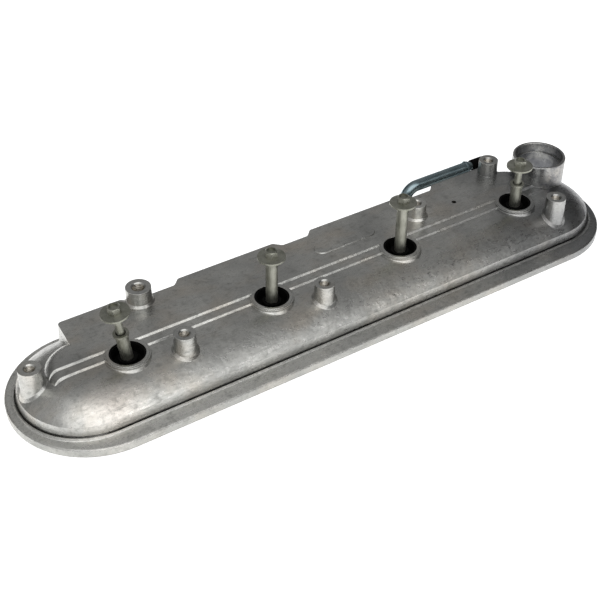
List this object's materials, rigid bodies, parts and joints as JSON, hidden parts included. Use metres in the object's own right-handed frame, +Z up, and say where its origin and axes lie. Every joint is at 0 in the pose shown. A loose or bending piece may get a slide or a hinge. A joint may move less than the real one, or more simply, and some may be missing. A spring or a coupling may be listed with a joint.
{
  "type": "engine valve cover",
  "caption": "Cast aluminium engine valve cover with captive bolts in rubber grommets, threaded bosses, an oil filler neck and a steel vent tube.",
  "frame": {"origin": "middle of the flange's oval outline, on the sealing face", "axes": "+Z up out of the sealing face, +X along the row of bolts towards the oil filler neck, +Y from the bolts to the vent tube's side"},
  "size_m": [0.4954, 0.12, 0.0749],
  "materials": {
    "cast_aluminium": "satin",
    "rubber": "matte",
    "plated_steel": "dull zinc",
    "blued_steel": "zinc",
    "sheet_steel": "satin"
  },
  "bodies": {
    "cover": {"cover": "cast_aluminium", "gasket": "rubber", "grommet_1": "rubber", "grommet_2": "rubber", "grommet_3": "rubber", "grommet_4": "rubber", "vent_tube": "blued_steel", "vent_tube_cap": "rubber", "baffle": "sheet_steel", "baffle_screw_1": "plated_steel", "baffle_screw_2": "plated_steel", "baffle_screw_3": "plated_steel", "baffle_screw_4": "plated_steel"},
    "sleeve_1": {"sleeve_1": "plated_steel"},
    "bolt_1": {"bolt_1": "plated_steel"},
    "sleeve_2": {"sleeve_2": "plated_steel"},
    "bolt_2": {"bolt_2": "plated_steel"},
    "sleeve_3": {"sleeve_3": "plated_steel"},
    "bolt_3": {"bolt_3": "plated_steel"},
    "sleeve_4": {"sleeve_4": "plated_steel"},
    "bolt_4": {"bolt_4": "plated_steel"}
  },
  "joints": [
    {"name": "sleeve_1_slide", "type": "slide", "parent": "cover", "child": "sleeve_1", "axis": [-0.1253, 0, 0.9921], "range_m": [-0.0175, 0.0236]},
    {"name": "bolt_1_slide", "type": "slide", "parent": "sleeve_1", "child": "bolt_1", "axis": [-0.1253, 0, 0.9921], "range_m": [-0.01677, 0.00885]},
    {"name": "sleeve_2_slide", "type": "slide", "parent": "cover", "child": "sleeve_2", "axis": [0, 0, 1], "range_m": [-0.03365, 0.0092]},
    {"name": "bolt_2_slide", "type": "slide", "parent": "sleeve_2", "child": "bolt_2", "axis": [0, 0, 1], "range_m": [-0.00002, 0.0256]},
    {"name": "sleeve_3_slide", "type": "slide", "parent": "cover", "child": "sleeve_3", "axis": [0, 0, 1], "range_m": [-0.03795, 0.0049]},
    {"name": "bolt_3_slide", "type": "slide", "parent": "sleeve_3", "child": "bolt_3", "axis": [0, 0, 1], "range_m": [-0.00002, 0.0256]},
    {"name": "sleeve_4_slide", "type": "slide", "parent": "cover", "child": "sleeve_4", "axis": [0, 0, 1], "range_m": [-0.0174, 0.0254]},
    {"name": "bolt_4_slide", "type": "slide", "parent": "sleeve_4", "child": "bolt_4", "axis": [0, 0, 1], "range_m": [-0.01437, 0.01125]}
  ]
}
